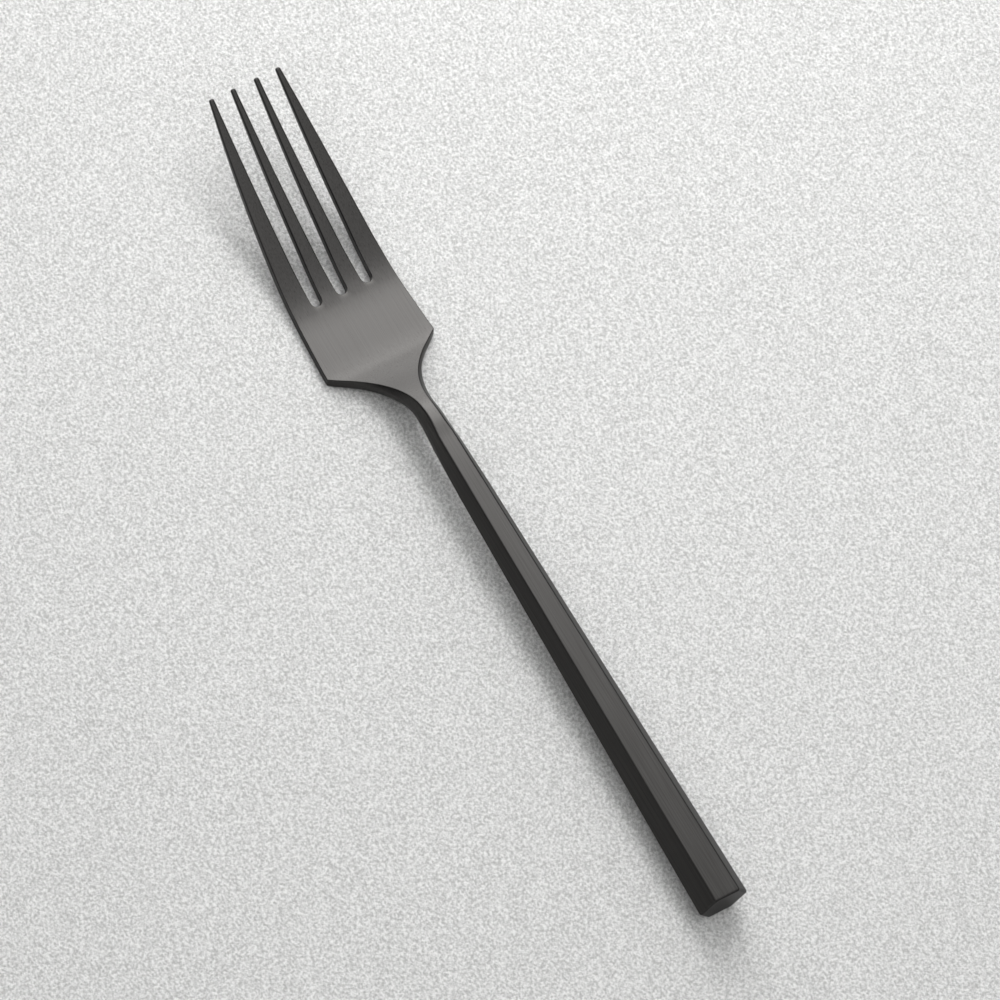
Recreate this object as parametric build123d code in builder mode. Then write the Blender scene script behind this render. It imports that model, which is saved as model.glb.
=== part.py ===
from build123d import *
import os
from math import atan2, cos, degrees, radians, sin, sqrt, tan

# Dinner fork with a hollow six-sided handle, lying on a table.
# X runs along the fork from the handle's end to the tines' tips, Z is up and the table is Z = 0.
# The origin lies on the table under the middle of the fork. Sizes are in millimetres and degrees.
# Lengths along the fork follow one another from the handle's end, so that each can be set by itself.

# Handle: a tapering six-sided tube, flat above and below, with ridges at the left and right
handle_length = 108.0
end_across_flats = 10.46
joint_across_flats = 6.68
handle_rise = 1.66
shell_wall = 0.8
end_cap_thickness = 1.8
end_cap_spigot = 4.0
end_edge_round = 0.6
spigot_clearance = 0.03

# Bolster and tang: the solid root of the head, and the bar that it sends into the handle
waist_from_joint = 19.0
relief_depth = 0.36
relief_radius = 78.0
relief_run = 13.2
bolster_spigot = 3.0
tang_length = 42.0
tang_width = 2.6
tang_thickness = 2.6

# Neck and shoulders: the bar arches over a crest and spreads into the bowl
crest_before_waist = 2.5
crest_rise = 0.5
neck_run = 21.6
thickening_start = 2.5
flare_run = 13.0
relief_stations = 3
neck_stations = 14
shoulder_slope = 11.0
shoulder_angle = 54.5
shoulder_blend_radius = 21.0
head_width = 27.2

# Bowl and tines: a flat sheet that bends upwards, with three slots
head_thickness = 2.4
bowl_entry_radius = 14.0
bowl_flat = 7.2
bowl_bend_radius = 49.0
tine_root_angle = 19.0
tine_tip_angle = 24.5
tine_run = 37.85
bowl_waist_from_shoulder = 16.0
bowl_waist_width = 25.4
bowl_waist_taper = 2.2
slot_root_from_shoulder = 16.0
slot_root_width = 2.65
outer_slot_offset = 6.38
inner_tip_offset = 2.95
outer_tip_offset = 8.41
tip_width = 1.15
tip_thickness = 1.0

# Handle axis, from the middle of the end face, and the places along the fork
rise_sin = sin(radians(handle_rise))
rise_cos = cos(radians(handle_rise))
slope_sin = sin(radians(shoulder_slope))
slope_cos = cos(radians(shoulder_slope))
root_sin = sin(radians(tine_root_angle))
root_cos = cos(radians(tine_root_angle))
tip_sin = sin(radians(tine_tip_angle))
tip_cos = cos(radians(tine_tip_angle))

axis_start = end_across_flats / 2 * rise_sin
waist_from_end = axis_start + (handle_length + waist_from_joint) * rise_cos
crest_from_end = waist_from_end - crest_before_waist
shoulder_from_end = crest_from_end + neck_run
flat_from_end = shoulder_from_end + bowl_entry_radius * slope_sin
bend_from_end = flat_from_end + bowl_flat
tine_from_end = bend_from_end + bowl_bend_radius * root_sin
tip_from_end = tine_from_end + tine_run
overall_length = tip_from_end + tip_thickness * tip_sin

end_x = -overall_length / 2
crest_x = end_x + crest_from_end
shoulder_x = end_x + shoulder_from_end
flat_x = end_x + flat_from_end
bend_x = end_x + bend_from_end
tine_x = end_x + tine_from_end
tip_x = end_x + tip_from_end

handle_plane = Plane(
    origin=(end_x + axis_start, 0, end_across_flats / 2 * rise_cos),
    x_dir=(0, 1, 0),
    z_dir=(rise_cos, 0, rise_sin),
)
seam_plane = Plane(origin=handle_plane.origin, x_dir=(0, 1, 0), z_dir=handle_plane.y_dir)


flats_taper = (end_across_flats - joint_across_flats) / handle_length
flat_angle = degrees(atan2(flats_taper / 2, 1))


def across_flats(distance):
    """Size across the handle's flats at a distance along its axis."""
    return end_across_flats - flats_taper * distance


def six_sided_bar(start, stop, inset=0.0, mode=Mode.ADD):
    """A stretch of the handle's tapering six-sided bar, drawn in by an inset."""
    with BuildSketch(handle_plane.offset(start)) as section:
        RegularPolygon(radius=across_flats(start) / 2 - inset, side_count=6, major_radius=False)
    extrude(section.sketch, amount=stop - start, taper=flat_angle, mode=mode)


def smooth_step(share):
    """Goes from 0 to 1 with no slope at either end."""
    share = min(max(share, 0.0), 1.0)
    return share * share * (3 - 2 * share)


# Bolster: a relief on each side, starting at the ridges, narrows the six-sided bar towards the neck's waist
def arc_sag(radius, reach):
    """How far a circle has left its tangent line at some reach along that line."""
    return radius - sqrt(radius**2 - reach**2)


waist_distance = handle_length + waist_from_joint
waist_half_width = across_flats(waist_distance) / sqrt(3) / 2 - relief_depth
relief_start = waist_distance - relief_run
relief_flats = across_flats(relief_start)
relief_half_width = waist_half_width + arc_sag(relief_radius, relief_run)
draft_slope = (relief_flats / sqrt(3) - relief_half_width) / (relief_flats / 2)
bolster_end = waist_distance - sqrt(relief_radius**2 - (relief_radius - relief_depth) ** 2)
bolster_flats = across_flats(bolster_end)


def six_corners(plane, right_side):
    """A section with three corners on its right side, mirrored to the left, on a plane across the fork."""
    left_side = [(-across, up) for across, up in reversed(right_side)]
    return Face(Wire.make_polygon([plane.from_local_coords(corner) for corner in right_side + left_side]))


def relief_section(distance):
    """Section of the bolster at a distance along the handle, where the relief's wall meets the lower facet."""
    flats = across_flats(distance)
    low_half = flats / sqrt(3) / 2
    half = waist_half_width + arc_sag(relief_radius, waist_distance - distance)
    ridge_depth = (3 * low_half - half) / (draft_slope + 1 / sqrt(3))
    ridge = (half + ridge_depth * draft_slope, flats / 2 - ridge_depth)
    return six_corners(
        handle_plane.offset(distance), [(min(half, low_half), flats / 2), ridge, (low_half, -flats / 2)]
    )


with BuildPart() as bolster:
    six_sided_bar(handle_length, relief_start)

handle_axis = Axis(handle_plane.origin, handle_plane.z_dir)
bolster_top = handle_plane.offset(bolster_end).origin + handle_plane.y_dir * bolster_flats / 2

# Neck: its top line runs from the bolster's upper flat over the crest and down to the shoulders
shoulder_top_z = head_thickness + bowl_entry_radius * (1 - slope_cos)
with BuildLine(Plane.XZ) as neck_line:
    Spline(
        (bolster_top.X, bolster_top.Z),
        (crest_x, bolster_top.Z + crest_rise),
        (shoulder_x, shoulder_top_z),
        tangents=[(rise_cos, rise_sin), (1, 0), (slope_cos, -slope_sin)],
        tangent_scalars=[1, 1, 1],
    )
neck_path = neck_line.edges()[0]

# In the flat, the shoulder's edge is straight and then curves into the neck's waist
shoulder_tan = tan(radians(shoulder_angle))
blend_run = shoulder_blend_radius * tan(radians(shoulder_angle / 2))
blend_end = (head_width / 2 - waist_half_width) / shoulder_tan + blend_run
blend_start = blend_end - shoulder_blend_radius * sin(radians(shoulder_angle))


def neck_half_width(point, distance):
    """Half width of the neck's top at a point of its line, given the distance from the shoulders."""
    if distance < blend_start:
        half = head_width / 2 - distance * shoulder_tan
    else:
        half = waist_half_width + arc_sag(shoulder_blend_radius, max(blend_end - distance, 0))
    along_handle = (point - handle_plane.origin).dot(handle_plane.z_dir)
    return half + arc_sag(relief_radius, max(waist_distance - along_handle, 0))


def edge_stretch(distance):
    """How much wider a slanting edge makes a flank's spread, measured straight across the fork."""
    reach = min(max(blend_end - distance, 0), shoulder_blend_radius * sin(radians(shoulder_angle)))
    return shoulder_blend_radius / sqrt(shoulder_blend_radius**2 - reach**2)


# At the bolster's end, the relief reaches the top's edges and the neck's side ridges go on
front_half_top = waist_half_width + relief_depth
front_half_low = bolster_flats / sqrt(3) / 2
ridge_share = (3 * front_half_low - front_half_top) / (draft_slope + 1 / sqrt(3)) / bolster_flats


def neck_section(share):
    """Section of the neck square to its top line: flat above and below, with a ridge on each flank."""
    point = neck_path @ share
    distance = neck_path.length * (1 - share)
    bar_share = smooth_step((distance - thickening_start) / (neck_path.length - 2 * thickening_start))
    depth = head_thickness + (bolster_flats - head_thickness) * bar_share
    half = neck_half_width(point, distance)
    spread = draft_slope * smooth_step(distance / flare_run) * edge_stretch(distance)
    ridge = half + ridge_share * depth * spread
    low = half + (front_half_low - front_half_top) * bar_share
    return six_corners(
        Plane(origin=point, x_dir=(0, 1, 0), z_dir=neck_path % share),
        [(half, 0), (ridge, -ridge_share * depth), (low, -depth)],
    )


with BuildPart() as neck:
    relief_step = (bolster_end - relief_start) / relief_stations
    relief_sections = [relief_section(relief_start + relief_step * i) for i in range(relief_stations)]
    neck_sections = [neck_section(i / neck_stations) for i in range(neck_stations + 1)]
    loft(sections=relief_sections + neck_sections)

# Bowl and tines: the sheet's side view, drawn out across the fork and trimmed to its outline
tine_radius = tine_run / (tip_sin - root_sin)
root_top = Vector(tine_x, head_thickness + bowl_bend_radius * (1 - root_cos))
tip_top = Vector(tip_x, root_top.Y + tine_radius * (root_cos - tip_cos))
shoulder_top = Vector(shoulder_x, shoulder_top_z)
shoulder_low = shoulder_top - Vector(slope_sin, slope_cos) * head_thickness
root_low = root_top + Vector(root_sin, -root_cos) * head_thickness
tip_low = tip_top + Vector(tip_sin, -tip_cos) * tip_thickness
tine_direction = (root_cos, root_sin)
slope_direction = (slope_cos, -slope_sin)

slot_root_x = shoulder_x + slot_root_from_shoulder
slot_radius = slot_root_width / 2
slot_start_x = slot_root_x + slot_radius
past_tip_x = overall_length / 2 + tip_thickness


def towards_tip(root_y, tip_y):
    """The end, past the tips, of a straight slot edge from its root to its tine's tip."""
    slope = (tip_y - root_y) / (tip_x - slot_start_x)
    return (past_tip_x, root_y + slope * (past_tip_x - slot_start_x))


def slot(centre, low_tip_y, high_tip_y):
    """One slot between two tines: a round root and two straight edges that spread to the tips."""
    low_root = (slot_start_x, centre - slot_radius)
    high_root = (slot_start_x, centre + slot_radius)
    with BuildSketch() as outline:
        with BuildLine():
            ThreePointArc(low_root, (slot_root_x, centre), high_root)
            Polyline(
                high_root,
                towards_tip(high_root[1], high_tip_y),
                towards_tip(low_root[1], low_tip_y),
                low_root,
            )
        make_face()
    return outline.sketch


with BuildSketch() as head_outline:
    with BuildLine():
        corner = (shoulder_x, head_width / 2)
        bowl_waist = (shoulder_x + bowl_waist_from_shoulder, bowl_waist_width / 2)
        outer_tip = (tip_x, outer_tip_offset + tip_width / 2)
        taper_cos = cos(radians(bowl_waist_taper))
        taper_sin = sin(radians(bowl_waist_taper))
        Line((shoulder_low.X - head_thickness, 0), (shoulder_low.X - head_thickness, head_width / 2))
        Line((shoulder_low.X - head_thickness, head_width / 2), corner)
        Line(corner, bowl_waist)
        side = TangentArc(bowl_waist, outer_tip, tangent=(taper_cos, -taper_sin))
        run_out = side % 1
        past_tip = (past_tip_x, outer_tip[1] + (past_tip_x - tip_x) * run_out.Y / run_out.X)
        Line(outer_tip, past_tip)
        Line(past_tip, (past_tip_x, 0))
        mirror(about=Plane.XZ)
    make_face()
    inner_edge = inner_tip_offset - tip_width / 2
    add(slot(0, -inner_edge, inner_edge), mode=Mode.SUBTRACT)
    outer_slot = slot(outer_slot_offset, inner_tip_offset + tip_width / 2, outer_tip_offset - tip_width / 2)
    add(outer_slot, mode=Mode.SUBTRACT)
    add(mirror(outer_slot, about=Plane.XZ, mode=Mode.PRIVATE), mode=Mode.SUBTRACT)

with BuildPart() as bowl_and_tines:
    with BuildSketch(Plane.XZ) as side_view:
        with BuildLine():
            TangentArc(shoulder_top, (flat_x, head_thickness), tangent=slope_direction)
            Line((flat_x, head_thickness), (bend_x, head_thickness))
            TangentArc((bend_x, head_thickness), root_top, tangent=(1, 0))
            TangentArc(root_top, tip_top, tangent=tine_direction)
            Line(tip_top, tip_low)
            TangentArc(root_low, tip_low, tangent=tine_direction)
            TangentArc((bend_x, 0), root_low, tangent=(1, 0))
            Line((bend_x, 0), (flat_x, 0))
            TangentArc(shoulder_low, (flat_x, 0), tangent=slope_direction)
            Line(shoulder_low, shoulder_top)
        make_face()
    extrude(amount=head_width, both=True)
    extrude(head_outline.sketch, amount=overall_length, mode=Mode.INTERSECT)

# Head: bolster, neck, bowl and tines in one forging, with a spigot and a tang behind the bolster
spigot_start = handle_length - bolster_spigot
tang_start = spigot_start - tang_length
with BuildPart() as fork_head:
    add(bolster.part)
    add(neck.part)
    add(bowl_and_tines.part)
    six_sided_bar(spigot_start, handle_length, shell_wall + spigot_clearance)
    with BuildSketch(handle_plane.offset(tang_start)):
        Rectangle(tang_width, tang_thickness)
    extrude(amount=tang_length)
fork_head.part.label = "fork_head"

# Handle shells: the upper and lower halves of the six-sided tube meet along the left and right ridges
with BuildPart() as handle_upper_shell:
    six_sided_bar(end_cap_thickness, handle_length)
    six_sided_bar(end_cap_thickness, handle_length, shell_wall, Mode.SUBTRACT)
    split(bisect_by=seam_plane, keep=Keep.TOP)
handle_upper_shell.part.label = "handle_upper_shell"

with BuildPart() as handle_lower_shell:
    six_sided_bar(end_cap_thickness, handle_length)
    six_sided_bar(end_cap_thickness, handle_length, shell_wall, Mode.SUBTRACT)
    split(bisect_by=seam_plane, keep=Keep.BOTTOM)
handle_lower_shell.part.label = "handle_lower_shell"

# End cap: the flat end of the handle, with a spigot inside the shells
cap_spigot_end = end_cap_thickness + end_cap_spigot
with BuildPart() as handle_end_cap:
    six_sided_bar(0, end_cap_thickness)
    fillet(handle_end_cap.faces().sort_by(handle_axis)[0].edges(), radius=end_edge_round)
    six_sided_bar(end_cap_thickness, cap_spigot_end, shell_wall + spigot_clearance)
handle_end_cap.part.label = "handle_end_cap"

# Filler: cast inside the shells between the two spigots, all round the tang
with BuildPart() as handle_filler:
    six_sided_bar(cap_spigot_end, spigot_start, shell_wall)
    with BuildSketch(handle_plane.offset(tang_start)):
        Rectangle(tang_width, tang_thickness)
    extrude(amount=tang_length, mode=Mode.SUBTRACT)
handle_filler.part.label = "handle_filler"

os.makedirs("parts", exist_ok=True)
for piece in (fork_head, handle_upper_shell, handle_lower_shell, handle_end_cap, handle_filler):
    export_step(piece.part, "parts/" + piece.part.label + ".step")
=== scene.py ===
# %% [markdown]
# # A dinner fork with a six-sided hollow handle
# The real fork is a flat forged head whose neck runs into a thick, tapering, six-sided handle.
# The handle is hollow: two pressed shells, an end cap and a cast filling that grips the head's tang.
# The joints between the pieces are ground flush before the fork is coated satin black, so they don't show.
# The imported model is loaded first. Each visible piece is then built again in the same place, with its
# edges rounded.

from math import asin, atan2, cos, hypot, pi, radians, sin, sqrt, tan

import bmesh
import bpy
from mathutils import Matrix, Vector


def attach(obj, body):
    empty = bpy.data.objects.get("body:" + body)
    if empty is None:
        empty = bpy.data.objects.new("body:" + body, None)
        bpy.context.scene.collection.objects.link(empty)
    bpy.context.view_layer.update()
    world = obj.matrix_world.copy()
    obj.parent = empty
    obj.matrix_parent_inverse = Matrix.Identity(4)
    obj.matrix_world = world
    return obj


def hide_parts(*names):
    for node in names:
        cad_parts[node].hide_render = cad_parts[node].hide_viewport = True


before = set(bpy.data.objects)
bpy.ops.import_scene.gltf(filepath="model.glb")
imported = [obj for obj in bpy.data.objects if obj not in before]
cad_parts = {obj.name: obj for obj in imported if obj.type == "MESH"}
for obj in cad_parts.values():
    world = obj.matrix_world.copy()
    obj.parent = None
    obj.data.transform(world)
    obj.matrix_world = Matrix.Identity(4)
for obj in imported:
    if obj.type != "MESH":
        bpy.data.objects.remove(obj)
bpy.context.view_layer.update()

# %% [markdown]
# ## Sizes
# All sizes are in millimetres, as on a drawing, and only the last step turns them into Blender's metres.
# X runs from the handle's end to the tips, Z is up, and the table is Z = 0.
# The names are the ones a maker would use: across flats is the distance between two opposite flats.

# %% Sizes of the handle, the neck and the head
MILLIMETRE = 0.001

handle_length = 108.0
end_across_flats = 10.46
joint_across_flats = 6.68
handle_rise = radians(1.66)
shell_wall = 0.8
end_cap_thickness = 1.8
end_cap_spigot = 4.0
end_edge_round = 0.6
spigot_clearance = 0.03

waist_from_joint = 19.0
relief_depth = 0.36
relief_radius = 78.0
relief_run = 13.2
bolster_spigot = 3.0
tang_length = 42.0
tang_width = 2.6
ridge_flat = 0.1
waist_side_cut = 0.74
waist_narrowing = 6.0

crest_before_waist = 2.5
crest_rise = 0.2
neck_run = 21.6
thickening_start = 2.5
flare_run = 13.0
shoulder_slope = radians(11.0)
shoulder_angle = radians(54.5)
shoulder_blend_radius = 21.0
head_width = 27.2

head_thickness = 2.4
bowl_entry_radius = 14.0
bowl_flat = 7.2
bowl_bend_radius = 49.0
tine_root_angle = radians(19.0)
tine_tip_angle = radians(24.5)
tine_run = 37.85
bowl_waist_from_shoulder = 16.0
bowl_waist_width = 25.4
bowl_waist_taper = radians(2.2)
slot_root_from_shoulder = 16.0
slot_root_width = 2.65
outer_slot_offset = 6.38
inner_tip_offset = 2.95
outer_tip_offset = 8.41
tip_width = 1.15
tip_thickness = 1.0
print(f"handle {handle_length} mm long, head {head_width} mm wide and {head_thickness} mm thick")

# %% Places along the fork, from the handle's end
axis_start = end_across_flats / 2 * sin(handle_rise)
waist_distance = handle_length + waist_from_joint
crest_from_end = axis_start + waist_distance * cos(handle_rise) - crest_before_waist
shoulder_from_end = crest_from_end + neck_run
flat_from_end = shoulder_from_end + bowl_entry_radius * sin(shoulder_slope)
bend_from_end = flat_from_end + bowl_flat
tine_from_end = bend_from_end + bowl_bend_radius * sin(tine_root_angle)
tip_from_end = tine_from_end + tine_run
overall_length = tip_from_end + tip_thickness * sin(tine_tip_angle)

end_x = -overall_length / 2
crest_x = end_x + crest_from_end
shoulder_x = end_x + shoulder_from_end
flat_x = end_x + flat_from_end
bend_x = end_x + bend_from_end
tine_x = end_x + tine_from_end
tip_x = end_x + tip_from_end
print(f"overall length {overall_length:.2f} mm, shoulders at x {shoulder_x:.2f}, tips at x {tip_x:.2f}")

# %% [markdown]
# ## The rounded six-sided bar
# The handle's section is a regular hexagon with a flat above and below and a ridge at each side.
# Polishing has rounded its edges to about half a millimetre, and that thin round catches the light.
# A bevel can't round the ridges, because the two shells part there, so the section's points come from
# a formula: each corner is an arc of sixty degrees about a centre that lies on the corner's own spoke.

# %% Points of the rounded hexagon and of the handle's axis
edge_round = 0.5
arc_steps = 4


def across_flats(distance):
    """Size across the flats at a distance along the handle's axis."""
    return end_across_flats - (end_across_flats - joint_across_flats) / handle_length * distance


def handle_point(distance, across, up):
    """A point of the handle: along its axis, across it and above it."""
    x = end_x + axis_start + distance * cos(handle_rise) - up * sin(handle_rise)
    z = end_across_flats / 2 * cos(handle_rise) + distance * sin(handle_rise) + up * cos(handle_rise)
    return Vector((x, across, z))


def rounded_hexagon(flats, rounding, first_step=0, last_step=6 * (arc_steps + 1)):
    """Points round a hexagon with rounded corners, from the left ridge over the top, as (across, up)."""
    points = []
    spoke = (flats / 2 - rounding) / cos(pi / 6)
    for corner in range(6):
        for step in range(arc_steps + 1):
            corner_angle = corner * pi / 3
            angle = corner_angle + (step / arc_steps - 0.5) * pi / 3
            across = spoke * cos(corner_angle) + rounding * cos(angle)
            up = spoke * sin(corner_angle) + rounding * sin(angle)
            points.append((across, up))
    return points[first_step:last_step]


print("points round the hexagon:", len(rounded_hexagon(end_across_flats, edge_round)))

# %% [markdown]
# ## A mesh from loops
# A piece of the handle is a row of loops with the same number of points, joined by four-sided faces.
# That could also be a curve with a bevel object, but loops keep every edge where the drawing puts it.

# %% Make a Blender object from loops of points
merge_distance = 1e-5
flat_face_weight = 100


def new_piece(name, mesh_data):
    """Puts a finished bmesh into the scene as a smooth-shaded object, in metres."""
    bmesh.ops.remove_doubles(mesh_data, verts=mesh_data.verts, dist=merge_distance)
    bmesh.ops.recalc_face_normals(mesh_data, faces=mesh_data.faces)
    bmesh.ops.scale(mesh_data, vec=(MILLIMETRE,) * 3, verts=mesh_data.verts)
    mesh = bpy.data.meshes.new(name)
    mesh_data.to_mesh(mesh)
    mesh_data.free()
    mesh.polygons.foreach_set("use_smooth", [True] * len(mesh.polygons))
    piece = bpy.data.objects.new(name, mesh)
    bpy.context.scene.collection.objects.link(piece)
    return piece


def join_loops(mesh_data, loops):
    """Adds closed loops of points and joins each to the next. Returns the loops' vertices."""
    rings = [[mesh_data.verts.new(point) for point in loop] for loop in loops]
    count = len(rings[0])
    for ring, after in zip(rings, rings[1:]):
        for i in range(count):
            j = (i + 1) % count
            mesh_data.faces.new((ring[i], ring[j], after[j], after[i]))
    return rings


def mark_sharp(mesh_data, rings):
    """Marks the edges of these closed rings as sharp, for the shading."""
    for ring in rings:
        for start, end in zip(ring, ring[1:] + ring[:1]):
            edge = mesh_data.edges.get((start, end))
            if edge:
                edge.smooth = False


def weigh_normals(piece):
    """Lets the large faces decide the shading, so that flats look flat and only the rounds curve."""
    weighted = piece.modifiers.new("flat faces", "WEIGHTED_NORMAL")
    weighted.keep_sharp = True
    weighted.weight = flat_face_weight


print("points closer than", merge_distance, "mm become one")

# %% [markdown]
# ## End cap
# The cap closes the handle with a flat six-sided face, and a short spigot holds it inside the shells.
# Its end edge is rounded a little more than the ridges, so the loops there shrink along a quarter circle.

# %% Build the end cap
round_steps = 5
smallest_round = 0.1
cap_spigot_end = end_cap_thickness + end_cap_spigot

cap_loops = []
for step in range(round_steps + 1):
    angle = step / round_steps * pi / 2
    inset = end_edge_round * (1 - sin(angle))
    distance = end_edge_round * (1 - cos(angle))
    section = rounded_hexagon(across_flats(distance) - 2 * inset, max(edge_round - inset, smallest_round))
    cap_loops.append([handle_point(distance, across, up) for across, up in section])
section = rounded_hexagon(across_flats(end_cap_thickness), edge_round)
cap_loops.append([handle_point(end_cap_thickness, across, up) for across, up in section])
for distance in (end_cap_thickness, cap_spigot_end):
    flats = across_flats(distance) - 2 * (shell_wall + spigot_clearance)
    section = rounded_hexagon(flats, smallest_round)
    cap_loops.append([handle_point(distance, across, up) for across, up in section])

mesh_data = bmesh.new()
rings = join_loops(mesh_data, cap_loops)
mesh_data.faces.new(rings[0])
mesh_data.faces.new(rings[-1])
mark_sharp(mesh_data, rings[round_steps + 1:])
end_cap = new_piece("end_cap_plate", mesh_data)
weigh_normals(end_cap)
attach(end_cap, "root")
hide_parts("handle_end_cap")
print("end cap faces", len(end_cap.data.polygons))

# %% [markdown]
# ## Handle shells
# The upper and lower shells are pressed from sheet and meet along the two ridges.
# Each shell takes half of the rounded hexagon outside and half of a sharp, smaller hexagon inside.
# The seam lies exactly on the ridge, in the middle of its round, so the two halves look like one bar.

# %% Build the two shells
half_points = 3 * (arc_steps + 1) + 1
ridge_step = arc_steps // 2


def shell_loop(distance, side):
    """One end of a shell: the outer half section and then the inner one on the way back."""
    flats = across_flats(distance)
    outer = rounded_hexagon(flats, edge_round, ridge_step, ridge_step + half_points)
    inner_corner = (flats / 2 - shell_wall) / cos(pi / 6)
    inner = [(inner_corner * cos(k * pi / 3), inner_corner * sin(k * pi / 3)) for k in (3, 2, 1, 0)]
    return [handle_point(distance, across, side * up) for across, up in outer + inner]


for name, node, side in (("upper_shell", "handle_upper_shell", 1),
                         ("lower_shell", "handle_lower_shell", -1)):
    mesh_data = bmesh.new()
    rings = join_loops(mesh_data, [shell_loop(end_cap_thickness, side), shell_loop(handle_length, side)])
    for ring in rings:
        mesh_data.faces.new(ring)
    mark_sharp(mesh_data, rings)
    for i in (0, half_points - 1, *range(half_points, len(rings[0]))):
        mesh_data.edges.get((rings[0][i], rings[1][i])).smooth = False
    shell = new_piece(name, mesh_data)
    weigh_normals(shell)
    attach(shell, "root")
    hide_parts(node)
    print(name, "faces", len(shell.data.polygons))

# %% [markdown]
# ## Fork head: the bolster and the neck
# The head is one forging. Behind, it is still the six-sided bar. A relief then grows out of each ridge as
# an upright wall and makes the bar narrower, and the neck arches over a crest, thins, and spreads into
# the shoulders.
# Each row across the head has a top point, a lowest point and six points down its side: the top edge, two
# for the round where the slanting facet meets the wall, two for the round below the wall, and the bottom
# edge. A cut with a boolean would be quicker to write, but rows keep the faces long and clean.

# %% Rows of the bolster
class Row:
    """One row across the head.

    The top and lowest points are (x, z), and each point of the side is (half width, share of depth).
    """

    def __init__(self, top, low, side):
        self.top = top
        self.low = low
        self.side = side

    def point(self, across, share):
        """A point of the row, at a share of the way from its top down to its underside."""
        x = self.top[0] + (self.low[0] - self.top[0]) * share
        z = self.top[1] + (self.low[1] - self.top[1]) * share
        return Vector((x, across, z))


def arc_sag(radius, reach):
    """How far a circle has left its tangent line at some reach along that line."""
    return radius - sqrt(radius**2 - reach**2)


def smooth_step(share):
    """Goes from 0 to 1 with no slope at either end."""
    share = min(max(share, 0.0), 1.0)
    return share * share * (3 - 2 * share)


bar_round = edge_round * tan(pi / 6)
round_limit = 0.4


def side_points(half, wall, wall_top, wall_end, depth):
    """Six points down one side: its top and bottom edges, and both rounds of the upright wall.

    A round takes no more of a face than the limit, so that two rounds never meet.
    """
    corners = ((half, 0), (wall, wall_top), (wall, wall_end), (half, 1))
    points = [corners[0]]
    for before, corner, after in zip(corners, corners[1:], corners[2:]):
        for other in (before, after):
            across, down = other[0] - corner[0], other[1] - corner[1]
            share = min(bar_round / hypot(across, down * depth), round_limit)
            points.append((corner[0] + across * share, corner[1] + down * share))
    return points + [corners[3]]


waist_half_width = across_flats(waist_distance) / sqrt(3) / 2 - relief_depth
relief_start = waist_distance - relief_run
relief_flats = across_flats(relief_start)
relief_half_width = waist_half_width + arc_sag(relief_radius, relief_run)
draft_slope = (relief_flats / sqrt(3) - relief_half_width) / (relief_flats / 2)
bolster_end = waist_distance - sqrt(relief_radius**2 - (relief_radius - relief_depth) ** 2)
bolster_flats = across_flats(bolster_end)


def wall_half_width(distance):
    """Half width at the relief's wall, which is low at the joint and grows towards the waist."""
    grown = smooth_step((distance - handle_length) / waist_from_joint)
    return across_flats(distance) / sqrt(3) - ridge_flat - (waist_side_cut - ridge_flat) * grown


def bolster_row(distance):
    """A row of the six-sided bar with the relief's wall."""
    flats = across_flats(distance)
    top = handle_point(distance, 0, flats / 2)
    low = handle_point(distance, 0, -flats / 2)
    half = flats / sqrt(3) / 2
    wall = wall_half_width(distance)
    wall_top = (wall - half) * sqrt(3) / flats
    return Row((top.x, top.z), (low.x, low.z), side_points(half, wall, wall_top, 1 - wall_top, flats))


bar_row_count = 10
bar_row_step = (bolster_end - handle_length) / bar_row_count
bar_rows = [bolster_row(handle_length + bar_row_step * i) for i in range(bar_row_count + 1)]
print(f"bolster {bolster_end - handle_length:.1f} mm long, waist {waist_half_width:.2f} mm half wide")

# %% [markdown]
# The neck's top line is two smooth spans, from the bar to the crest and from the crest to the shoulders.
# A Hermite span is the simplest curve that has a given place and direction at both ends.
# The rows are spaced by length along the line, because the neck's width is drawn on the flat sheet before
# it is bent.

# %% Rows of the neck
def hermite(start, end, start_direction, end_direction, share):
    """A point of the smooth span between two points with a direction at each."""
    chord = hypot(end[0] - start[0], end[1] - start[1])
    start_weight = 2 * share**3 - 3 * share**2 + 1
    start_pull = (share**3 - 2 * share**2 + share) * chord
    end_pull = (share**3 - share**2) * chord
    return tuple(start_weight * start[i] + start_pull * start_direction[i]
                 + (1 - start_weight) * end[i] + end_pull * end_direction[i] for i in (0, 1))


bolster_top = bar_rows[-1].top
crest = (crest_x, bolster_top[1] + crest_rise)
shoulder_top = (shoulder_x, head_thickness + bowl_entry_radius * (1 - cos(shoulder_slope)))
bar_slope = handle_rise - (end_across_flats - joint_across_flats) / 2 / handle_length
bar_direction = (cos(bar_slope), sin(bar_slope))
slope_direction = (cos(shoulder_slope), -sin(shoulder_slope))
crest_direction = (1, 0)
span_points = 200
shares = [i / span_points for i in range(span_points + 1)]
neck_line = [hermite(bolster_top, crest, bar_direction, crest_direction, share) for share in shares[:-1]]
neck_line += [hermite(crest, shoulder_top, crest_direction, slope_direction, share) for share in shares]
neck_lengths = [0.0]
for start, end in zip(neck_line, neck_line[1:]):
    neck_lengths.append(neck_lengths[-1] + hypot(end[0] - start[0], end[1] - start[1]))
neck_length = neck_lengths[-1]

shoulder_tan = tan(shoulder_angle)
straight_run = (head_width / 2 - waist_half_width) / shoulder_tan
blend_end = straight_run + shoulder_blend_radius * tan(shoulder_angle / 2)
blend_reach = shoulder_blend_radius * sin(shoulder_angle)
front_half_top = waist_half_width + relief_depth
front_half_low = bolster_flats / sqrt(3) / 2
wall_end = (3 * front_half_low - front_half_top) / (draft_slope + 1 / sqrt(3)) / bolster_flats
waist_gain = across_flats(waist_distance - waist_narrowing) / sqrt(3) / 2 - waist_half_width
length_slack = 1e-9


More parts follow.
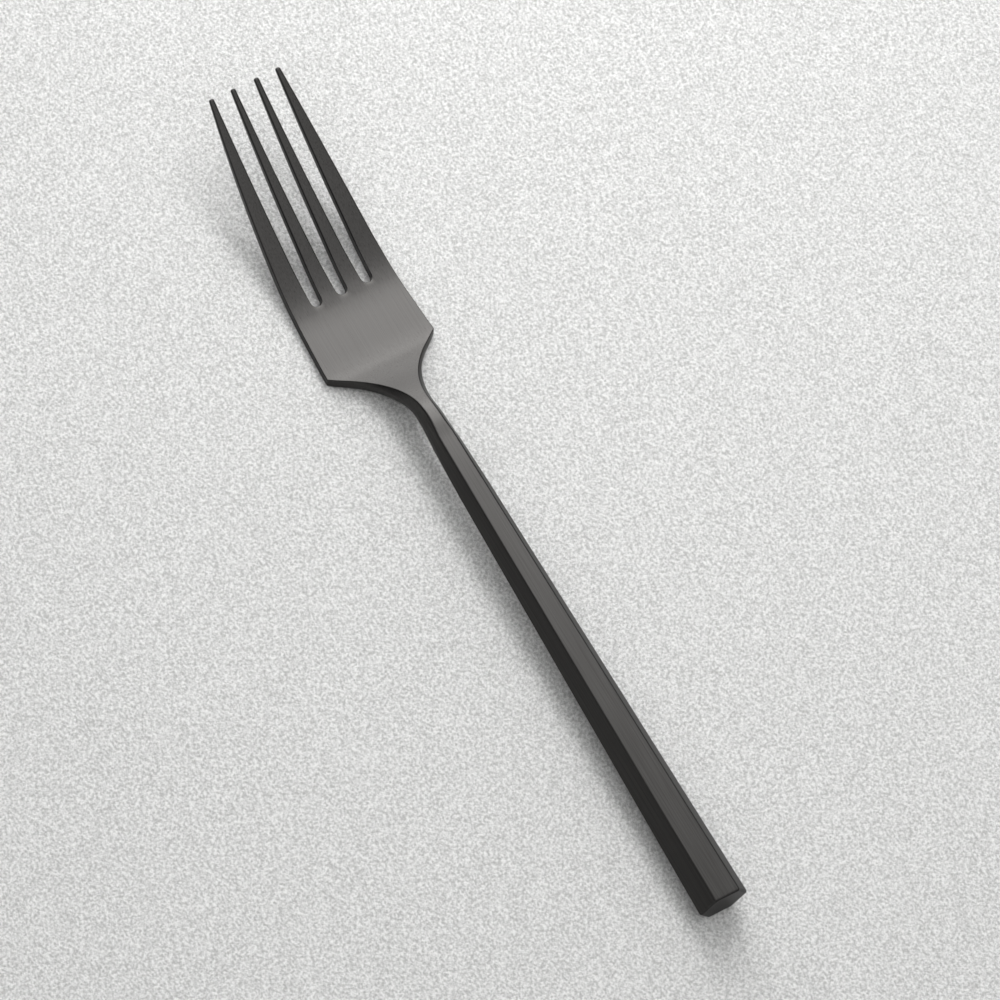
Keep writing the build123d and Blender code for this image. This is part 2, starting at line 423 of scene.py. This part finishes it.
def neck_row(length):
    """A row of the neck at a length along its top line."""
    i = max(k for k in range(span_points * 2) if neck_lengths[k] <= length + length_slack)
    start, end = neck_line[i], neck_line[i + 1]
    step = neck_lengths[i + 1] - neck_lengths[i]
    share = (length - neck_lengths[i]) / step
    top = [start[k] + (end[k] - start[k]) * share for k in (0, 1)]
    direction = [(end[k] - start[k]) / step for k in (0, 1)]
    distance = neck_length - length
    bar_share = smooth_step((distance - thickening_start) / (neck_length - 2 * thickening_start))
    depth = head_thickness + (bolster_flats - head_thickness) * bar_share
    if distance < blend_end - blend_reach:
        half = head_width / 2 - distance * shoulder_tan
    else:
        half = waist_half_width + arc_sag(shoulder_blend_radius, max(blend_end - distance, 0))
    axis_x = end_x + axis_start
    axis_z = end_across_flats / 2 * cos(handle_rise)
    along = (top[0] - axis_x) * cos(handle_rise) + (top[1] - axis_z) * sin(handle_rise)
    before_waist = waist_distance - along
    low = (top[0] + direction[1] * depth, top[1] - direction[0] * depth)
    if before_waist > 0:
        bar_half = across_flats(along) / sqrt(3) / 2
        half = min(waist_half_width + waist_gain * (before_waist / waist_narrowing) ** 2, bar_half)
        wall = wall_half_width(along)
    else:
        reach = min(max(blend_end - distance, 0), blend_reach)
        stretch = shoulder_blend_radius / sqrt(shoulder_blend_radius**2 - reach**2)
        wall = half + wall_end * depth * draft_slope * smooth_step(distance / flare_run) * stretch
    return Row(top, low, side_points(half, wall, 1 - wall_end, wall_end, depth))


neck_row_count = 30
neck_rows = [neck_row(neck_length * i / neck_row_count) for i in range(1, neck_row_count + 1)]
narrowest = min(row.side[0][0] for row in neck_rows)
print(f"neck line {neck_length:.2f} mm long, narrowest half width {narrowest:.2f} mm")

# %% [markdown]
# ## Fork head: the bowl and the tines
# The bowl is a flat sheet that bends upwards. The tines go on in a wider curve and thin to their tips.
# Each outer side is a straight edge and then a long arc, and three slots with round roots part the tines.
# The sheet is flat across, so one function gives its top and underside for any place along the fork.

# %% The sheet's curve and the head's outline
tine_radius = tine_run / (sin(tine_tip_angle) - sin(tine_root_angle))
root_top_z = head_thickness + bowl_bend_radius * (1 - cos(tine_root_angle))
root_low = (tine_x + head_thickness * sin(tine_root_angle),
            root_top_z - head_thickness * cos(tine_root_angle))
tip_top_z = root_top_z + tine_radius * (cos(tine_root_angle) - cos(tine_tip_angle))
tip_low = (tip_x + tip_thickness * sin(tine_tip_angle),
           tip_top_z - tip_thickness * cos(tine_tip_angle))


def circle_from(start, direction, end):
    """Centre and signed radius of the circle that leaves a point in a direction and passes another."""
    dx, dy = end[0] - start[0], end[1] - start[1]
    aside = dy * cos(direction) - dx * sin(direction)
    radius = (dx * dx + dy * dy) / (2 * aside)
    return (start[0] - radius * sin(direction), start[1] + radius * cos(direction)), radius


def circle_height(circle, x):
    """Height of the circle at x, on the side where it was started."""
    (centre_x, centre_y), radius = circle
    height = sqrt(radius**2 - (x - centre_x) ** 2)
    return centre_y - height if radius > 0 else centre_y + height


under_tines = circle_from(root_low, tine_root_angle, tip_low)


def sheet(x):
    """Top and underside of the sheet at a place along the fork, each as (x, z)."""
    if x < flat_x:
        angle = -asin((flat_x - x) / bowl_entry_radius)
        z = head_thickness + bowl_entry_radius * (1 - cos(angle))
    elif x < bend_x:
        angle = 0.0
        z = head_thickness
    elif x < tine_x:
        angle = asin((x - bend_x) / bowl_bend_radius)
        z = head_thickness + bowl_bend_radius * (1 - cos(angle))
    else:
        angle = asin(sin(tine_root_angle) + (x - tine_x) / tine_radius)
        z = root_top_z + tine_radius * (cos(tine_root_angle) - cos(angle))
        low_x = root_low[0] + (tip_low[0] - root_low[0]) * (x - tine_x) / tine_run
        return (x, z), (low_x, circle_height(under_tines, low_x))
    return (x, z), (x + head_thickness * sin(angle), z - head_thickness * cos(angle))


bowl_waist = (shoulder_x + bowl_waist_from_shoulder, bowl_waist_width / 2)
shoulder_corner = (shoulder_x, head_width / 2)
outer_tip = (tip_x, outer_tip_offset + tip_width / 2)
tine_side = circle_from(bowl_waist, -bowl_waist_taper, outer_tip)


def outer_half_width(x):
    """Half width of the head's outline in plan."""
    if x < bowl_waist[0]:
        share = max(x - shoulder_x, 0) / bowl_waist_from_shoulder
        return shoulder_corner[1] + (bowl_waist[1] - shoulder_corner[1]) * share
    return circle_height(tine_side, x)


print("outline at the shoulder, the waist and the tip:",
      [round(outer_half_width(x), 2) for x in (shoulder_x, bowl_waist[0], tip_x)])

# %% [markdown]
# Between the shoulders and the slots, the rows have one column for each point of the slots' round roots.
# In front of the last full row, each column ends on its root's arc, and each tine goes on as a bar.
# The edges are still sharp here. Their rounds come from one bevel, which follows the weights set here.

# %% Build the sharp head
slot_root_x = shoulder_x + slot_root_from_shoulder
slot_radius = slot_root_width / 2
slot_start_x = slot_root_x + slot_radius
slot_centres = (-outer_slot_offset, 0.0, outer_slot_offset)
root_steps = 10
row_before_slots = 0.9
last_full_x = slot_root_x - row_before_slots
last_full_half = outer_half_width(last_full_x)

columns = [-1.0]
for centre in slot_centres:
    for step in range(root_steps + 1):
        angle = (step / root_steps - 0.5) * pi
        columns.append((centre + slot_radius * sin(angle)) / last_full_half)
columns.append(1.0)

bowl_row_count = 12
bowl_rows = []
for i in range(1, bowl_row_count + 1):
    x = shoulder_x + (last_full_x - shoulder_x) * i / bowl_row_count
    top, low = sheet(x)
    half, low_half = outer_half_width(top[0]), outer_half_width(low[0])
    side_shares = [share for across, share in neck_rows[-1].side]
    bowl_rows.append(Row(top, low, [(half + (low_half - half) * share, share) for share in side_shares]))

rows = bar_rows + neck_rows + bowl_rows
corner_row = len(bar_rows) + len(neck_rows) - 1
mesh_data = bmesh.new()
bevel_weight = mesh_data.edges.layers.float.new("bevel_weight_edge")
tops, lows, sides = [], [], []
for row in rows:
    half, low_half = row.side[0][0], row.side[-1][0]
    tops.append([mesh_data.verts.new(row.point(half * share, 0)) for share in columns])
    lows.append([mesh_data.verts.new(row.point(low_half * share, 1)) for share in columns])
    walls = []
    for sign, edge in ((-1, 0), (1, -1)):
        places = [row.point(sign * across, share) for across, share in row.side[1:-1]]
        between = [mesh_data.verts.new(point) for point in places]
        walls.append([tops[-1][edge], *between, lows[-1][edge]])
    sides.append(walls)

# How far each kind of edge is rounded, in millimetres along its faces
sheet_round = 0.16
slot_round = 0.12
tine_round = 0.4
tip_round = 0.4
bevel_edges = []
for i in range(len(rows) - 1):
    for k in range(len(columns) - 1):
        mesh_data.faces.new((tops[i][k], tops[i][k + 1], tops[i + 1][k + 1], tops[i + 1][k]))
        mesh_data.faces.new((lows[i][k], lows[i + 1][k], lows[i + 1][k + 1], lows[i][k + 1]))
    for wall, after in zip(sides[i], sides[i + 1]):
        for k in range(len(wall) - 1):
            mesh_data.faces.new((wall[k], wall[k + 1], after[k + 1], after[k]))
        bar_share = smooth_step((corner_row - i) / len(neck_rows))
        reach = sheet_round + (bar_round - sheet_round) * bar_share
        bevel_edges += [(wall[0], after[0], reach), (wall[-1], after[-1], reach)]
for wall in sides[corner_row]:
    bevel_edges += [(upper, lower, sheet_round) for upper, lower in zip(wall, wall[1:])]
print("rows", len(rows), "columns", len(columns), "head faces so far", len(mesh_data.faces))

# %% Roots and rows of the tines
slot_run = tip_x - slot_start_x
tine_rounding_run = 14.0
tine_row_count = 24
tine_places = [slot_start_x + slot_run * i / tine_row_count for i in range(tine_row_count + 1)]
last_tine = len(slot_centres)
last_tops, last_lows, last_sides = tops[-1], lows[-1], sides[-1]


def slot_edge(centre, sign, x):
    """Side of a slot at x, from its round root straight to the tip of the tine beside it."""
    root = centre + sign * slot_radius
    if centre == 0:
        tip = sign * (inner_tip_offset - tip_width / 2)
    elif (sign > 0) == (centre > 0):
        tip = sign * (outer_tip_offset - tip_width / 2)
    else:
        tip = -sign * (inner_tip_offset + tip_width / 2)
    return root + (tip - root) * (x - slot_start_x) / slot_run


def tine_edge(tine, side, x):
    """Place across of a tine's edge at x: side 0 is its right edge and side 1 its left edge."""
    slot = tine - 1 + side
    if slot < 0:
        return -outer_half_width(x)
    if slot == last_tine:
        return outer_half_width(x)
    return slot_edge(slot_centres[slot], 1 - 2 * side, x)


def tine_edge_round(root_round, x):
    """How far a tine's edge is rounded at x: as little as the root beside it, and soon more."""
    return root_round + (tine_round - root_round) * smooth_step((x - slot_start_x) / tine_rounding_run)


def sheet_vertices(top_across, low_across, x):
    """A vertex on the sheet's top and one on its underside, above each other."""
    top, low = sheet(x)
    upper = mesh_data.verts.new((top[0], top_across, top[1]))
    lower = mesh_data.verts.new((low[0], low_across, low[1]))
    return upper, lower


root_pairs = []
for slot, centre in enumerate(slot_centres):
    pairs = []
    for step in range(root_steps + 1):
        angle = (step / root_steps - 0.5) * pi
        across = centre + slot_radius * sin(angle)
        pairs.append(sheet_vertices(across, across, slot_start_x - slot_radius * cos(angle)))
    first_column = 1 + slot * (root_steps + 1)
    for step in range(root_steps):
        column = first_column + step
        (top, low), (next_top, next_low) = pairs[step], pairs[step + 1]
        mesh_data.faces.new((last_tops[column], last_tops[column + 1], next_top, top))
        mesh_data.faces.new((last_lows[column], low, next_low, last_lows[column + 1]))
        mesh_data.faces.new((top, next_top, next_low, low))
        bevel_edges += [(top, next_top, slot_round), (low, next_low, slot_round)]
    root_pairs.append(pairs)
print("points round each slot's root:", root_steps + 1)

# %% Add the tines to the sharp head
for tine in range(last_tine + 1):
    previous = None
    column = tine * (root_steps + 1)
    for x in tine_places:
        top, low = sheet(x)
        across = [(tine_edge(tine, side, top[0]), tine_edge(tine, side, low[0])) for side in (0, 1)]
        if previous is None:
            right = root_pairs[tine - 1][-1] if tine else sheet_vertices(*across[0], x)
            left = root_pairs[tine][0] if tine < last_tine else sheet_vertices(*across[1], x)
            behind = [last_tops[column], last_tops[column + 1], last_lows[column + 1], last_lows[column]]
        else:
            right = sheet_vertices(*across[0], x)
            left = sheet_vertices(*across[1], x)
            behind = previous
        here = [right[0], left[0], left[1], right[1]]
        mesh_data.faces.new((behind[0], behind[1], here[1], here[0]))
        mesh_data.faces.new((behind[3], here[3], here[2], behind[2]))
        if previous is not None or tine == 0:
            wall = (behind[0], here[0], here[3], behind[3])
            if previous is None:
                wall = (behind[0], here[0], here[3], behind[3], *last_sides[0][-2:0:-1])
            mesh_data.faces.new(wall)
            reach = tine_edge_round(slot_round if tine else sheet_round, x)
            bevel_edges += [(behind[0], here[0], reach), (behind[3], here[3], reach)]
        if previous is not None or tine == last_tine:
            wall = (behind[1], behind[2], here[2], here[1])
            if previous is None:
                wall = (behind[1], *last_sides[1][1:-1], behind[2], here[2], here[1])
            mesh_data.faces.new(wall)
            reach = tine_edge_round(slot_round if tine < last_tine else sheet_round, x)
            bevel_edges += [(behind[1], here[1], reach), (behind[2], here[2], reach)]
        previous = here
    mesh_data.faces.new(previous)
    bevel_edges += [(start, end, tip_round) for start, end in zip(previous, previous[1:] + previous[:1])]
print("head faces with tines", len(mesh_data.faces))

# %% [markdown]
# Behind the bolster, a spigot centres the head in the shells and a square tang runs into the filling.
# Nobody sees them on a finished fork, but they are part of the same forging and so of the same mesh.

# %% Close the back of the head with its spigot and tang
spigot_start = handle_length - bolster_spigot
spigot_flats = across_flats(handle_length) - 2 * (shell_wall + spigot_clearance)
back_ring = tops[0] + sides[0][1][1:-1] + lows[0][::-1] + sides[0][0][-2:0:-1]
mesh_data.faces.new(back_ring)

spigot_corner = spigot_flats / 2 / cos(pi / 6)
tang_corner = tang_width / sqrt(2)
hidden_overlap = 1.0
spigot_ends = (spigot_start, handle_length + hidden_overlap)
tang_ends = (spigot_start - tang_length, handle_length)
hidden_rings = []
for corner, count, first_angle, ends in ((spigot_corner, 6, 0, spigot_ends),
                                         (tang_corner, 4, pi / 4, tang_ends)):
    angles = [first_angle + 2 * pi * k / count for k in range(count)]
    section = [(corner * cos(angle), corner * sin(angle)) for angle in angles]
    loops = [[handle_point(end, across, up) for across, up in section] for end in ends]
    bars = join_loops(mesh_data, loops)
    for ring in bars:
        mesh_data.faces.new(ring)
    for start, end in zip(*bars):
        mesh_data.edges.get((start, end)).smooth = False
    hidden_rings += bars

for start, end, reach in bevel_edges:
    mesh_data.edges.get((start, end))[bevel_weight] = reach / tine_round
mark_sharp(mesh_data, [back_ring] + hidden_rings)
head = new_piece("fork_head_forging", mesh_data)
print("head vertices", len(head.data.vertices))

# %% [markdown]
# One bevel rounds every edge of the head. Its width is how far the round reaches along each face. At a
# square edge that is the radius, and on the bar's blunter edges the same reach gives a larger radius.
# The weights make it small at the slots and the sheet's edges, and larger along the tines, which feel
# round to the lips.

# %% Round the head's edges
edge_bevel = head.modifiers.new("rounded edges", "BEVEL")
edge_bevel.limit_method = "WEIGHT"
edge_bevel.width = tine_round * MILLIMETRE
edge_bevel.segments = arc_steps
edge_bevel.loop_slide = False
weigh_normals(head)
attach(head, "root")
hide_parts("fork_head")
print(f"edges rounded over {slot_round} to {tine_round} mm of each face")

# %% [markdown]
# ## Colours and nodes
# Colours are written as the hex values that a screen shows, and one function makes them linear light.
# One small function adds a shader node with its settings and links, so that each finish reads as a list.

# %% Helpers for the finishes
def linear(hex_colour):
    """A hex colour such as 8090A0 as linear red, green, blue and alpha."""
    channels = [int(hex_colour[i:i + 2], 16) / 255 for i in (0, 2, 4)]
    light = [c / 12.92 if c <= 0.04045 else ((c + 0.055) / 1.055) ** 2.4 for c in channels]
    return (*light, 1.0)


def add_node(tree, kind, inputs=None, **settings):
    """Adds a node, sets its settings and sets or links its inputs."""
    made = tree.nodes.new(kind)
    for name, value in settings.items():
        setattr(made, name, value)
    for name, value in (inputs or {}).items():
        if isinstance(value, bpy.types.NodeSocket):
            tree.links.new(value, made.inputs[name])
        else:
            made.inputs[name].default_value = value
    return made


def new_finish(name):
    """A material with an empty node tree and its output node."""
    finish = bpy.data.materials.new(name)
    finish.use_nodes = True
    finish.node_tree.nodes.clear()
    return finish, finish.node_tree, add_node(finish.node_tree, "ShaderNodeOutputMaterial")


print("middle grey on a screen as linear light:", round(linear("808080")[0], 3))

# %% [markdown]
# ## Satin black coated steel
# The metal is stainless steel, brushed along the fork and then coated black in a vacuum.
# The coating is only a few thousandths of a millimetre thick, so the brush lines still show through it.
# That gives the eye a dark warm grey, bright only where it mirrors the lamp and soft from the brushing.
# Real brush lines are a few hundredths of a millimetre wide. They are drawn about four times as wide, so
# that they show.
# The head is ground a little finer than the handle, so its reflections are sharper. The coating mirrors
# less than bare metal at a shallow angle, which a grey specular tint gives: the end face stays dark.

# %% Finish of the coated steel
brush_line_width = 0.2
brush_line_length = 30.0
brush_line_depth = 0.02
brush_bump_strength = 0.05
brush_roughness_change = 0.04
handle_roughness = 0.38
head_roughness = 0.31
joint_x = handle_point(handle_length, 0, 0).x

coated_steel, tree, output = new_finish("satin_black_coated_brushed_steel")
place = add_node(tree, "ShaderNodeTexCoord")
across_scale = 1 / (brush_line_width * MILLIMETRE)
along_scale = 1 / (brush_line_length * MILLIMETRE)
stretched = add_node(tree, "ShaderNodeMapping", {
    "Vector": place.outputs["Object"],
    "Scale": (along_scale, across_scale, across_scale),
})
lines = add_node(tree, "ShaderNodeTexNoise", {
    "Vector": stretched.outputs["Vector"],
    "Scale": 1.0,
    "Detail": 2.0,
    "Roughness": 0.6,
})
shade = add_node(tree, "ShaderNodeMix", {
    "Factor": lines.outputs["Fac"],
    "A": linear("2D2C2B"),
    "B": linear("4B4A49"),
}, data_type="RGBA")
parts = add_node(tree, "ShaderNodeSeparateXYZ", {"Vector": place.outputs["Object"]})
polish = add_node(tree, "ShaderNodeMapRange", {
    "Value": parts.outputs["X"],
    "From Min": joint_x * MILLIMETRE,
    "From Max": crest_x * MILLIMETRE,
    "To Min": handle_roughness,
    "To Max": head_roughness,
})
streaks = add_node(tree, "ShaderNodeMapRange", {
    "Value": lines.outputs["Fac"],
    "From Min": 0.3,
    "From Max": 0.7,
    "To Min": -brush_roughness_change,
    "To Max": brush_roughness_change,
})
gloss = add_node(tree, "ShaderNodeMath", {
    0: polish.outputs["Result"],
    1: streaks.outputs["Result"],
}, operation="ADD")
relief = add_node(tree, "ShaderNodeBump", {
    "Height": lines.outputs["Fac"],
    "Strength": brush_bump_strength,
    "Distance": brush_line_depth * MILLIMETRE,
})
steel = add_node(tree, "ShaderNodeBsdfPrincipled", {
    "Base Color": shade.outputs["Result"],
    "Metallic": 1.0,
    "Specular Tint": linear("DDDDDD"),
    "Roughness": gloss.outputs["Value"],
    "Normal": relief.outputs["Normal"],
})
tree.links.new(steel.outputs["BSDF"], output.inputs["Surface"])
for piece in (head, end_cap, bpy.data.objects["upper_shell"], bpy.data.objects["lower_shell"]):
    piece.data.materials.append(coated_steel)
print("coated steel nodes", len(tree.nodes))

# %% [markdown]
# ## Cast filling
# The filling is a mineral-filled resin that is poured round the tang and never seen.
# It is a dull grey-beige with fine grains of filler, so it has no gloss and a speckle of about 0.5 mm.

# %% Finish of the cast filling
filler_grain = 0.5

cast_resin, tree, output = new_finish("mineral_filled_cast_resin")
place = add_node(tree, "ShaderNodeTexCoord")
grains = add_node(tree, "ShaderNodeTexNoise", {
    "Vector": place.outputs["Object"],
    "Scale": 1 / (filler_grain * MILLIMETRE),
    "Detail": 3.0,
})
tint = add_node(tree, "ShaderNodeMix", {
    "Factor": grains.outputs["Fac"],
    "A": linear("7C766B"),
    "B": linear("989184"),
}, data_type="RGBA")
resin = add_node(tree, "ShaderNodeBsdfPrincipled", {
    "Base Color": tint.outputs["Result"],
    "Roughness": 0.8,
    "IOR": 1.55,
})
tree.links.new(resin.outputs["BSDF"], output.inputs["Surface"])
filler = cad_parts["handle_filler"]
filler.data.materials.clear()
filler.data.materials.append(cast_resin)
print("cast resin nodes", len(tree.nodes))

# %% [markdown]
# ## Floor
# The fork lies on pale lime plaster, trowelled and left rough, with sand grains of about 0.65 mm.
# It is matt and nearly white, and the sand and its small shadows give it texture.
# The noise that draws the sand has a grid of its own, which is turned out of the floor's plane so that it
# doesn't show.

# %% Floor and its plaster
floor_size = 4000.0
sand_grain = 0.65
sand_height = 0.5
noise_turn = (0.6, 0.4, 0.3)

bpy.ops.mesh.primitive_plane_add(size=floor_size * MILLIMETRE, location=(0, 0, 0))
floor = bpy.context.object
floor.name = "floor"
plaster, tree, output = new_finish("rough_lime_plaster")
place = add_node(tree, "ShaderNodeTexCoord")
turned = add_node(tree, "ShaderNodeMapping", {"Vector": place.outputs["Object"], "Rotation": noise_turn})
sand = add_node(tree, "ShaderNodeTexNoise", {
    "Vector": turned.outputs["Vector"],
    "Scale": 1 / (sand_grain * MILLIMETRE),
    "Detail": 5.0,
    "Roughness": 0.7,
})
grit = add_node(tree, "ShaderNodeMapRange", {
    "Value": sand.outputs["Fac"],
    "From Min": 0.38,
    "From Max": 0.62,
})
chalk = add_node(tree, "ShaderNodeMix", {
    "Factor": grit.outputs["Result"],
    "A": linear("B4B4B3"),
    "B": linear("EAEAE9"),
}, data_type="RGBA")
bumps = add_node(tree, "ShaderNodeBump", {
    "Height": sand.outputs["Fac"],
    "Strength": 1.0,
    "Distance": sand_height * MILLIMETRE,
})
matt = add_node(tree, "ShaderNodeBsdfPrincipled", {
    "Base Color": chalk.outputs["Result"],
    "Roughness": 0.9,
    "Normal": bumps.outputs["Normal"],
})
tree.links.new(matt.outputs["BSDF"], output.inputs["Surface"])
floor.data.materials.append(plaster)
print("floor", floor_size, "mm wide")

# %% [markdown]
# ## Light
# Dark metal shows what it mirrors, so the light is placed by the reflections that the photograph shows.
# The world is a room whose pale ceiling is brightest a little behind the middle, where the tines look. It
# fades to dark at the horizon, so the handle's left side stays nearly black.
# A pale wall beyond the tines fills the neck's slope. A second lamp could do what the wall does, but near
# the floor it would burn a white patch.

# %% The pale room
scene = bpy.context.scene
scene.view_settings.view_transform = "Standard"
ceiling_direction = Vector((-0.18, 0.0, 0.98))
ceiling_falloff = 3.0
ceiling_strength = 1.65
wall_direction = Vector((0.93, -0.27, 0.27))
wall_falloff = 12.0
wall_strength = 5.9
horizon_strength = 0.05

world = bpy.data.worlds.new("pale_room")
scene.world = world
world.use_nodes = True
tree = world.node_tree
place = add_node(tree, "ShaderNodeTexCoord")
level = horizon_strength
for direction, falloff, strength in ((ceiling_direction, ceiling_falloff, ceiling_strength),
                                     (wall_direction, wall_falloff, wall_strength)):
    facing = add_node(tree, "ShaderNodeVectorMath", {
        0: place.outputs["Generated"],
        1: direction.normalized(),
    }, operation="DOT_PRODUCT")
    ahead = add_node(tree, "ShaderNodeMath", {0: facing.outputs["Value"], 1: 0.0}, operation="MAXIMUM")
    glow = add_node(tree, "ShaderNodeMath", {0: ahead.outputs["Value"], 1: falloff}, operation="POWER")
    total = add_node(tree, "ShaderNodeMath", {
        0: glow.outputs["Value"],
        1: strength,
        2: level,
    }, operation="MULTIPLY_ADD")
    level = total.outputs["Value"]
room = tree.nodes["Background"]
room.inputs["Color"].default_value = (1, 1, 1, 1)
tree.links.new(level, room.inputs["Strength"])
print("pale room nodes", len(tree.nodes))

# %% [markdown]
# One long panel starts above the tips and slopes down beyond them. The bowl and the neck mirror it.
# The tines and the handle's end look past its edge and stay darker.
# Its near and far edges are given as (x, z) and its sides as places across, all in millimetres.

# %% The long panel
panel_near_edge = (96, 420)
panel_far_edge = (450, 279)
panel_right = -235
panel_left = -70
panel_brightness = 6.2

panel_run = panel_far_edge[0] - panel_near_edge[0]
panel_drop = panel_near_edge[1] - panel_far_edge[1]
panel_length = hypot(panel_run, panel_drop) * MILLIMETRE
panel_width = (panel_left - panel_right) * MILLIMETRE
panel_data = bpy.data.lights.new("long_panel", "AREA")
panel_data.shape = "RECTANGLE"
panel_data.size = panel_length
panel_data.size_y = panel_width
panel_data.energy = panel_brightness * pi * panel_length * panel_width
panel = bpy.data.objects.new("long_panel", panel_data)
panel_middle = Vector((panel_near_edge[0] + panel_far_edge[0],
                       panel_right + panel_left,
                       panel_near_edge[1] + panel_far_edge[1])) / 2
panel.location = panel_middle * MILLIMETRE
panel.rotation_euler = (0, atan2(panel_drop, panel_run), 0)
scene.collection.objects.link(panel)
print("long panel power", round(panel_data.energy, 2), "W")

# %% [markdown]
# ## Camera
# The photograph shows hardly any perspective, so the camera stands three metres away with a long lens.
# Its three axes are written out, because they were fitted to the corners of the fork all at once.

# %% Place the camera
camera_right = Vector((-0.50460197, -0.85181533, 0.14066806))
camera_down = Vector((-0.81855195, 0.42022112, -0.39164641))
camera_away = Vector((0.27449873, -0.31276967, -0.9092995))
fork_middle = Vector((-0.145, 0.0, 8.0))
shift_right = 4.416
shift_down = 0.167
camera_target = fork_middle + camera_right * shift_right + camera_down * shift_down
camera_distance = 3000.0
camera_place = camera_target - camera_away * camera_distance
camera_data = bpy.data.cameras.new("camera")
camera_data.sensor_width = 36.0
camera_data.lens = 498.65
camera_data.clip_end = 20.0
camera = bpy.data.objects.new("camera", camera_data)
axes = Matrix((camera_right, -camera_down, -camera_away)).transposed()
camera.matrix_world = Matrix.LocRotScale(camera_place * MILLIMETRE, axes, None)
scene.collection.objects.link(camera)
scene.camera = camera
print("camera at", [round(value, 3) for value in camera.location])
